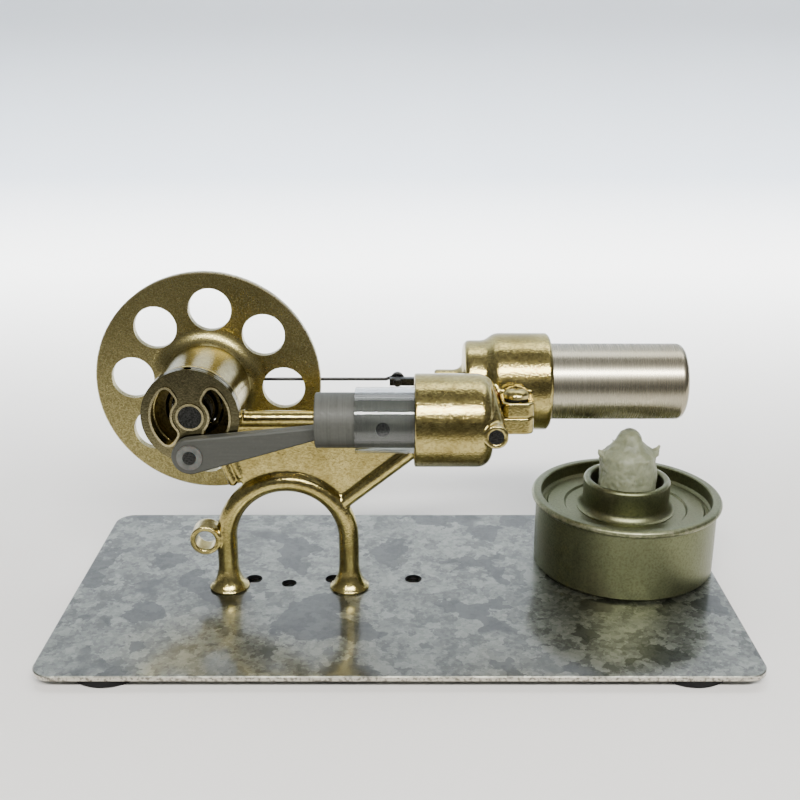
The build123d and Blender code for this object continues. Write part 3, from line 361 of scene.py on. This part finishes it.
def clear_glass():
    """Thin-walled borosilicate tube with faint drawing lines and finger haze."""
    s = Shader("clear_glass")
    haze = s.noise(160, 4.0)
    lines = s.noise(1.0, 3.0, vector=s.stretched((1800, 50, 50)))
    return s.finish(
        (0.97, 0.99, 0.985, 1),
        s.spread(haze, 0.45, 0.75, 0.0, 0.06),
        0.0,
        s.bump(lines, 0.00001, 0.25),
        Transmission_Weight=1.0,
        IOR=1.47,
    )


def milky_nylon():
    """Cloudy, slightly translucent plastic."""
    s = Shader("milky_nylon")
    cloud = s.noise(700, 4.0)
    colour = s.mix(s.spread(cloud, 0.35, 0.7), (0.060, 0.062, 0.055), (0.105, 0.107, 0.097))
    return s.finish(
        colour, s.spread(cloud, 0.3, 0.7, 0.28, 0.45), 0.0, s.bump(cloud, 0.00005, 0.4),
        Subsurface_Weight=0.35, Subsurface_Scale=0.002,
    )


def gasket_red():
    """Dull red fibre sheet."""
    s = Shader("gasket_red")
    fibre = s.noise(1300, 5.0)
    colour = s.mix(s.spread(fibre, 0.35, 0.65), (0.16, 0.05, 0.03), (0.27, 0.10, 0.06))
    return s.finish(colour, s.spread(fibre, 0.3, 0.7, 0.65, 0.85), 0.0, s.bump(fibre, 0.00006, 0.6))


def tin_olive():
    """Lacquered tinplate: olive gold, with fine upright rolling marks, rubbed bright on its rims."""
    s = Shader("tin_olive")
    upright = s.noise(1.0, 4.0, 0.65, vector=s.stretched((1900, 1900, 40)))
    cloud = s.noise(45, 3.0)
    colour = s.mix(s.spread(cloud, 0.3, 0.7), (0.140, 0.150, 0.080), (0.176, 0.186, 0.104))
    colour = s.mix(s.spread(upright, 0.35, 0.7, 0.0, 0.35), colour, (0.195, 0.205, 0.115))
    from_axis = s.distance_from(burner_axis, (1, 1, 0))
    rim = s.spread(from_axis, can_rim_r - 0.0007, can_rim_r - 0.0002)
    rubbed = s.math("MULTIPLY", rim, s.spread(s.noise(700, 4.0), 0.35, 0.6))
    colour = s.mix(s.math("MULTIPLY", rubbed, 0.5), colour, (0.40, 0.39, 0.27))
    grain = s.noise(1700, 3.0)
    colour = s.mix(s.spread(grain, 0.42, 0.68, 0.0, 0.45), colour, (0.062, 0.066, 0.034))
    blush = s.spread(s.noise(60, 3.0), 0.50, 0.72)
    colour = s.mix(s.math("MULTIPLY", blush, 0.30), colour, (0.20, 0.165, 0.10))
    grime = s.spread(s.noise(210, 6.0, 0.7), 0.60, 0.80)
    colour = s.mix(s.math("MULTIPLY", grime, 0.30), colour, (0.06, 0.06, 0.03))
    rough = s.math("ADD", s.spread(upright, 0.3, 0.7, 0.34, 0.46), s.spread(grime, 0.0, 1.0, 0.0, 0.1))
    relief = s.bump(grain, 0.00005, 0.5, s.bump(upright, 0.000025, 0.6))
    return s.finish(colour, rough, 1.0, relief)


def soaked_cotton():
    """Wick cotton soaked in spirit: greyish, waxy and translucent, with fine fibres and dark specks."""
    s = Shader("soaked_cotton")
    fibre = s.noise(1.0, 4.0, 0.6, vector=s.stretched((900, 900, 260)))
    lump = s.noise(330, 5.0)
    colour = s.mix(s.spread(lump, 0.35, 0.68), (0.150, 0.162, 0.098), (0.235, 0.250, 0.165))
    speck = s.spread(s.noise(750, 3.0), 0.68, 0.73)
    colour = s.mix(s.math("MULTIPLY", speck, 0.7), colour, (0.09, 0.09, 0.065))
    relief = s.bump(lump, 0.0006, 0.6)
    return s.finish(
        colour, s.spread(fibre, 0.3, 0.7, 0.38, 0.6), 0.0, s.bump(fibre, 0.0002, 0.6, relief),
        Subsurface_Weight=0.7, Subsurface_Scale=0.004, Subsurface_Radius=(1.0, 0.9, 0.7),
    )


materials = {
    "spangled_steel": spangled_steel(),
    "black_rubber": black_rubber(),
    "gold_casting": plating(
        "gold_casting", (0.34, 0.275, 0.094), (0.50, 0.42, 0.162), (0.19, 0.14, 0.042), 0.13, 0.23, 0.00009
    ),
    "gold_satin": gold_satin(),
    "stainless": stainless(),
    "dark_steel": steel("dark_steel", (0.022, 0.022, 0.021), (0.06, 0.06, 0.056), 0.28, 0.42, 2600),
    "bright_steel": steel("bright_steel", (0.42, 0.42, 0.41), (0.66, 0.66, 0.65), 0.12, 0.28),
    "piston_grey": piston_grey(),
    "rod_grey": rod_grey(),
    "clear_glass": clear_glass(),
    "milky_nylon": milky_nylon(),
    "red_gasket": gasket_red(),
    "tin_olive": tin_olive(),
    "cotton": soaked_cotton(),
    "alloy": steel("alloy", (0.55, 0.55, 0.55), (0.76, 0.76, 0.77), 0.22, 0.36),
    # Dark brown for the bearings' rings and cages: a painted shade, as they sit inside the housing.
    "bearing_shade": steel("bearing_shade", (0.055, 0.043, 0.014), (0.12, 0.095, 0.035), 0.24, 0.42),
}

slot_of = {entry["node"]: entry["material_slot"] for entry in frame["record"]["subparts"]}


def dress(obj, material):
    obj.data.materials.clear()
    obj.data.materials.append(material)


for name, obj in nodes.items():
    dress(obj, materials[slot_of[name]])
dress(nodes["crank_disc"], disc_gold())
# The bearings' rings and cages are painted dark brown: painted shade inside the housing, behind the crank
# disc's openings.
for name in nodes:
    if name.endswith(("_ring", "_cage")):
        dress(nodes[name], materials["bearing_shade"])


# ---------------------------------------------------------------- cast skins
CAST_VOXEL = 0.00034
CAST_RELAX = 0.5
CAST_RELAX_STEPS = 4


def cast_skin(name, node):
    """A casting has blended inside corners, so its skin is the node's own shape, remeshed and relaxed."""
    skin = bpy.data.objects.new(name, nodes[node].data.copy())
    bpy.context.scene.collection.objects.link(skin)
    remesh = skin.modifiers.new("remesh", "REMESH")
    remesh.mode = "VOXEL"
    remesh.voxel_size = CAST_VOXEL
    relax = skin.modifiers.new("relax", "SMOOTH")
    relax.factor = CAST_RELAX
    relax.iterations = CAST_RELAX_STEPS
    depsgraph = bpy.context.evaluated_depsgraph_get()
    mesh = bpy.data.meshes.new_from_object(skin.evaluated_get(depsgraph))
    skin.modifiers.clear()
    skin.data = mesh
    mesh.shade_smooth()
    dress(skin, materials[slot_of[node]])
    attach(skin, "root")
    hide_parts(node)
    return skin


cast_skin("frame_casting", "engine_frame")
cast_skin("displacer_casting", "displacer_block")


# ---------------------------------------------------------------- wick
WICK_SEGMENTS = 48
WICK_VOXEL = 0.28 * MM
WICK_RELAX_STEPS = 3
TUFT_SEGMENTS = 12
TUFT_RINGS = 9
LUMP_SCALE, LUMP_HEIGHT = 210, 0.5
FLUFF_SCALE, FLUFF_HEIGHT = 900, 0.18
LUMP_SINK = 0.1                 # keeps the lumps from thickening the wick
# Radius at each depth below the tip, both in millimetres.
WICK_PROFILE = [
    (0.0, 1.0), (0.3, 1.9), (1.0, 2.8), (2.2, 3.5), (3.6, 4.1), (4.8, 5.1), (6.0, 6.6), (7.2, 7.6),
    (9.5, 8.0), (13.0, 8.3), (20.0, 8.4), (30.0, 8.2),
]
# Torn tufts: direction in degrees, how far out and how deep below the tip each ends, and its root's size.
WICK_TUFTS = [
    (184, 8.9, 5.6, 1.7), (174, 7.9, 6.4, 1.9), (196, 8.2, 6.9, 1.4), (2, 8.7, 5.0, 1.4),
    (-10, 8.5, 5.6, 1.8), (14, 8.0, 6.2, 1.7), (62, 7.2, 5.4, 1.4), (118, 7.6, 5.0, 1.5),
    (238, 7.6, 7.4, 1.0), (302, 7.9, 6.9, 1.1),
]


def wick_ring(mesh, centre, radius, axis, count):
    """A ring of vertices round an axis."""
    side = axis.orthogonal().normalized()
    across = axis.cross(side).normalized()
    turns = [2 * math.pi * i / count for i in range(count)]
    return [mesh.verts.new(centre + radius * (math.cos(t) * side + math.sin(t) * across)) for t in turns]


def wick_skin(mesh, rings):
    """Closes a row of rings into a solid."""
    count = len(rings[0])
    for lower, upper in zip(rings, rings[1:]):
        for i in range(count):
            j = (i + 1) % count
            mesh.faces.new((lower[i], lower[j], upper[j], upper[i]))
    mesh.faces.new(list(reversed(rings[0])))
    mesh.faces.new(rings[-1])


def torn_wick():
    """Cotton pulled up into a blunt tip, with torn tufts standing out round it."""
    low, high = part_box("burner_wick")
    low, high = Vector(low), Vector(high)
    tip = Vector(((low.x + high.x) / 2, (low.y + high.y) / 2, high.z - 0.3 * MM))
    up = Vector((0, 0, 1))
    made = bmesh.new()
    core = [wick_ring(made, tip - up * depth * MM, radius * MM, up, WICK_SEGMENTS)
            for depth, radius in reversed(WICK_PROFILE)]
    wick_skin(made, core)
    for degrees, reach, depth, root in WICK_TUFTS:
        out = Vector((math.cos(math.radians(degrees)), math.sin(math.radians(degrees)), 0))
        start = tip + out * (reach - 3.6) * MM - up * (depth + 3.4) * MM
        bend = tip + out * (reach - 0.9) * MM - up * (depth + 2.2) * MM
        end = tip + out * reach * MM - up * depth * MM
        rings = []
        for i in range(TUFT_RINGS):
            t = i / (TUFT_RINGS - 1)
            at = start * (1 - t) ** 2 + bend * 2 * t * (1 - t) + end * t * t
            heading = ((bend - start) * (1 - t) + (end - bend) * t).normalized()
            rings.append(wick_ring(made, at, (root * (1 - t ** 1.5) + 0.3) * MM, heading, TUFT_SEGMENTS))
        wick_skin(made, rings)
    mesh = bpy.data.meshes.new("torn_wick")
    made.to_mesh(mesh)
    made.free()
    wick = bpy.data.objects.new("torn_wick", mesh)
    bpy.context.scene.collection.objects.link(wick)
    remesh = wick.modifiers.new("remesh", "REMESH")
    remesh.mode = "VOXEL"
    remesh.voxel_size = WICK_VOXEL
    relax = wick.modifiers.new("relax", "SMOOTH")
    relax.iterations = WICK_RELAX_STEPS
    lumpy = bpy.data.meshes.new_from_object(wick.evaluated_get(bpy.context.evaluated_depsgraph_get()))
    wick.modifiers.clear()
    wick.data = lumpy
    normals = [vertex.normal.copy() for vertex in lumpy.vertices]
    for vertex, normal in zip(lumpy.vertices, normals):
        lump = noise.noise(vertex.co * LUMP_SCALE)
        fluff = noise.noise(vertex.co * FLUFF_SCALE)
        moved = vertex.co + normal * (LUMP_HEIGHT * lump + FLUFF_HEIGHT * fluff - LUMP_SINK) * MM
        for axis in range(3):
            moved[axis] = min(max(moved[axis], low[axis]), high[axis])
        vertex.co = moved
    lumpy.shade_smooth()
    dress(wick, materials["cotton"])
    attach(wick, "burner")
    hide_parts("burner_wick")


torn_wick()


# ---------------------------------------------------------------- stage and light
FLOOR_FRONT = -1.6
FLOOR_BACK = 0.42
FLOOR_HALF_WIDTH = 1.8
WALL_BEND = 0.16
WALL_TOP = 1.6
BEND_STEPS = 24
DARK_FRONT_FROM, DARK_FRONT_TO = -0.09, -0.19


def stage_floor():
    """A floor that curves up into a wall behind the model.

    It is pale under and behind the model. In front it fades to nearly black, outside the main view, so that
    the metals reflect something dark.
    """
    outline = [(FLOOR_FRONT, 0.0), (FLOOR_BACK, 0.0)]
    for i in range(1, BEND_STEPS + 1):
        angle = math.pi / 2 * i / BEND_STEPS
        outline.append((FLOOR_BACK + WALL_BEND * math.sin(angle), WALL_BEND * (1 - math.cos(angle))))
    outline.append((FLOOR_BACK + WALL_BEND, WALL_TOP))
    mesh = bpy.data.meshes.new("stage_floor")
    made = bmesh.new()
    rows = []
    for x in (-FLOOR_HALF_WIDTH, FLOOR_HALF_WIDTH):
        rows.append([made.verts.new((x, y, z)) for y, z in outline])
    for i in range(len(outline) - 1):
        made.faces.new((rows[0][i], rows[1][i], rows[1][i + 1], rows[0][i + 1]))
    made.to_mesh(mesh)
    made.free()
    mesh.shade_smooth()
    floor = bpy.data.objects.new("stage_floor", mesh)
    bpy.context.scene.collection.objects.link(floor)
    s = Shader("pale_floor")
    place = s.axes()
    cloud = s.noise(3.0, 4.0)
    colour = s.mix(s.spread(cloud, 0.35, 0.65), (0.80, 0.775, 0.74), (0.83, 0.81, 0.78))
    wall = s.mix(s.spread(cloud, 0.35, 0.65), (0.44, 0.475, 0.52), (0.48, 0.515, 0.56))
    colour = s.mix(s.spread(place[2], 0.0, 0.05), colour, wall)
    in_front = s.spread(place[1], DARK_FRONT_TO, DARK_FRONT_FROM, 1.0, 0.0)
    colour = s.mix(in_front, colour, (0.03, 0.03, 0.028))
    dress(floor, s.finish(colour, 0.7, 0.0, s.bump(s.noise(900, 3.0), 0.00005, 0.3)))


def area_light(name, at, aim, width, height, power, colour, spread=180):
    """A rectangular lamp; spread is its beam in degrees."""
    data = bpy.data.lights.new(name, "AREA")
    data.shape = "RECTANGLE"
    data.size = width
    data.size_y = height
    data.energy = power
    data.color = colour
    data.spread = math.radians(spread)
    light = bpy.data.objects.new(name, data)
    light.location = at
    light.rotation_euler = (Vector(aim) - Vector(at)).to_track_quat("-Z", "Y").to_euler()
    bpy.context.scene.collection.objects.link(light)


stage_floor()
model_middle = (0, 0, 0.05)
area_light("front_strip", (0.05, -0.70, 0.72), model_middle, 0.9, 0.10, 20.0, (1.0, 0.985, 0.955))
area_light("overhead", (0.10, 0.55, 1.15), model_middle, 1.7, 0.75, 16.0, (0.97, 0.985, 1.0))
area_light("wall_wash", (0.10, 0.48, 1.00), (0.10, 0.50, 0.0), 1.6, 0.16, 14.0, (0.92, 0.96, 1.0), 50)

# The room is dark up to a little above level, and brightens from there upwards.
# Its heights are the z of the direction looked in, where 0 is level and 1 is straight up.
ROOM_LOW, ROOM_HIGH = 0.15, 0.85
ROOM_DARK, ROOM_BRIGHT = 0.15, 0.30
world = bpy.data.worlds.new("studio")
bpy.context.scene.world = world
world.use_nodes = True
world_nodes = world.node_tree.nodes
direction = world_nodes.new("ShaderNodeTexCoord")
split = world_nodes.new("ShaderNodeSeparateXYZ")
world.node_tree.links.new(direction.outputs["Generated"], split.inputs[0])
height = world_nodes.new("ShaderNodeMapRange")
height.inputs["From Min"].default_value = ROOM_LOW
height.inputs["From Max"].default_value = ROOM_HIGH
height.inputs["To Min"].default_value = ROOM_DARK
height.inputs["To Max"].default_value = ROOM_BRIGHT
world.node_tree.links.new(split.outputs[2], height.inputs["Value"])
world.node_tree.links.new(height.outputs["Result"], world_nodes["Background"].inputs["Strength"])
world_nodes["Background"].inputs["Color"].default_value = (0.96, 0.98, 1.0, 1)
